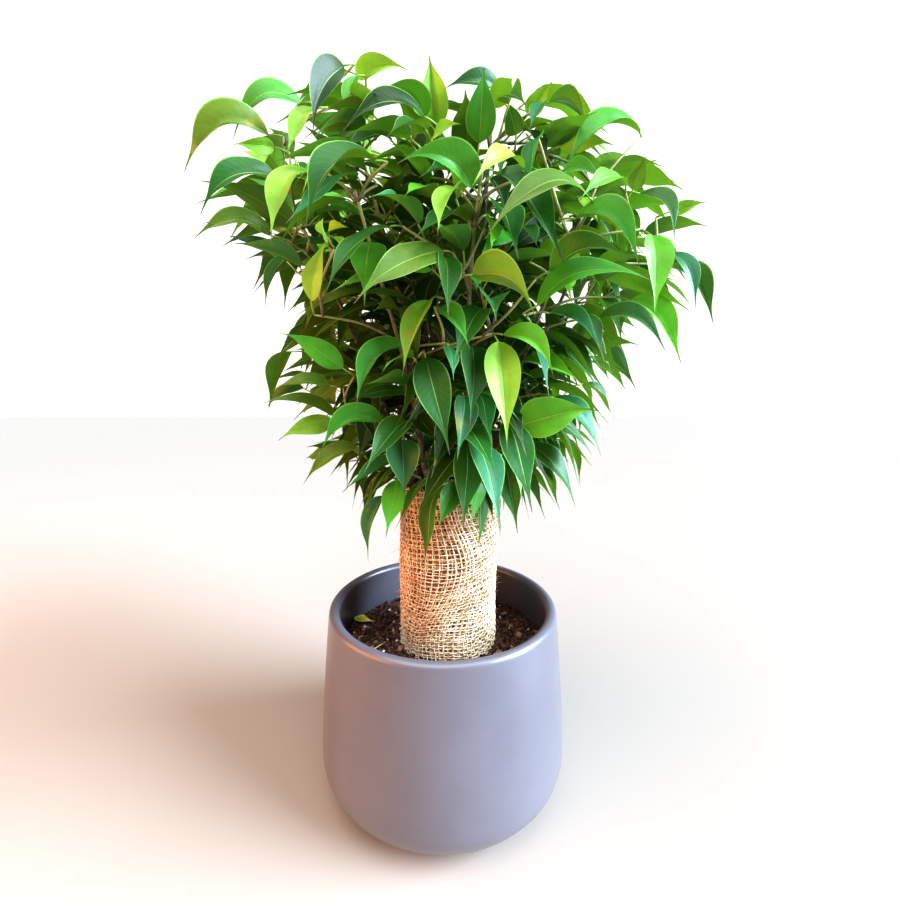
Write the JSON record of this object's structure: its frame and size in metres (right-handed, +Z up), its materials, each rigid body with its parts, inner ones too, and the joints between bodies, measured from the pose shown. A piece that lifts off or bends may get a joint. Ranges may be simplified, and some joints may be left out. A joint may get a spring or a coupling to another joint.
{
  "type": "weeping fig in a pot",
  "caption": "Potted weeping fig: slender woody stems bundled in a jute net sleeve, opening into a dense fountain of pointed leaves above a round glazed pot.",
  "frame": {"origin": "middle of the pot's flat foot, on the surface it stands on", "axes": "+Z up along the pot's axis, -Y towards the viewer of the picture, +X to the viewer's right"},
  "size_m": [0.2839, 0.2473, 0.4063],
  "materials": {
    "pot_glaze": "satin grey glaze",
    "potting_soil": "loose crumbly peat and bark",
    "jute_net": "coarse natural jute net with loose fibres",
    "fig_plant": "glossy green leaves on thin brown wood"
  },
  "bodies": {
    "root": {"pot": "pot_glaze", "soil": "potting_soil", "sleeve": "jute_net", "stem_01": "fig_plant", "stem_02": "fig_plant", "stem_03": "fig_plant", "stem_04": "fig_plant", "stem_05": "fig_plant", "stem_06": "fig_plant", "stem_07": "fig_plant", "stem_08": "fig_plant", "stem_09": "fig_plant", "stem_10": "fig_plant", "stem_11": "fig_plant", "stem_12": "fig_plant", "stem_13": "fig_plant"}
  },
  "joints": []
}
